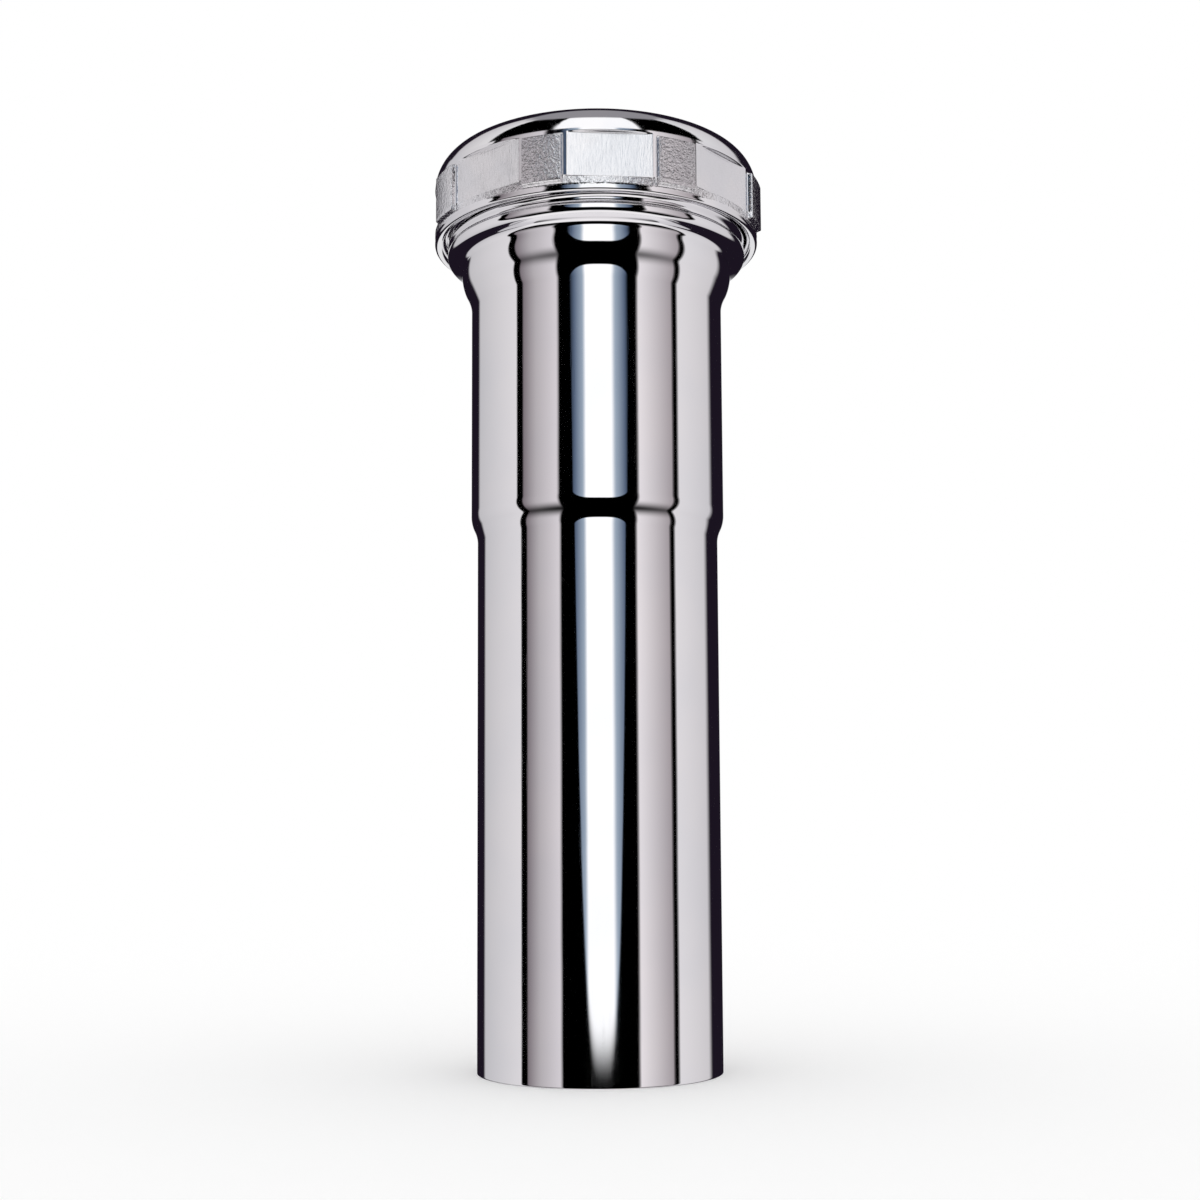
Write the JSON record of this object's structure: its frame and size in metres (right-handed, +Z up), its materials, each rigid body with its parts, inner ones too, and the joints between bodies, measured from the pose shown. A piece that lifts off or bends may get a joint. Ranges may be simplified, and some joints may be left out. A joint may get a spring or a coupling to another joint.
{
  "type": "slip-joint drain extension tube",
  "caption": "Chromed drain tube with a plain lower end, a stepped socket and neck, a wide collar and a slip nut that screws on over a washer.",
  "frame": {"origin": "centre of the plain end's bottom face, on the tube's axis", "axes": "+Z up the tube's axis, from the plain end to the slip nut; +X and +Y point at the middle of a flat on the nut"},
  "size_m": [0.0518, 0.0518, 0.1443],
  "materials": {
    "polished_chrome": "mirror polish",
    "cast_chrome": "chromed casting, satin flats and polished shoulder",
    "washer_rubber": "matte"
  },
  "bodies": {
    "tube": {"extension_tube": "polished_chrome"},
    "washer": {"slip_washer": "washer_rubber"},
    "nut": {"slip_nut": "cast_chrome"}
  },
  "joints": [
    {"name": "nut_rise", "type": "slide", "parent": "tube", "child": "washer", "axis": [0, 0, 1], "range_m": [0, 0.00718]},
    {"name": "nut_turn", "type": "hinge", "parent": "washer", "child": "nut", "pos_m": [0, 0, 0.137], "axis": [0, 0, 1], "range_deg": [0, 1170]}
  ],
  "couplings": [
    {"joint": "nut_rise", "follows": "nut_turn", "m_per_rad": 0.00035152}
  ]
}
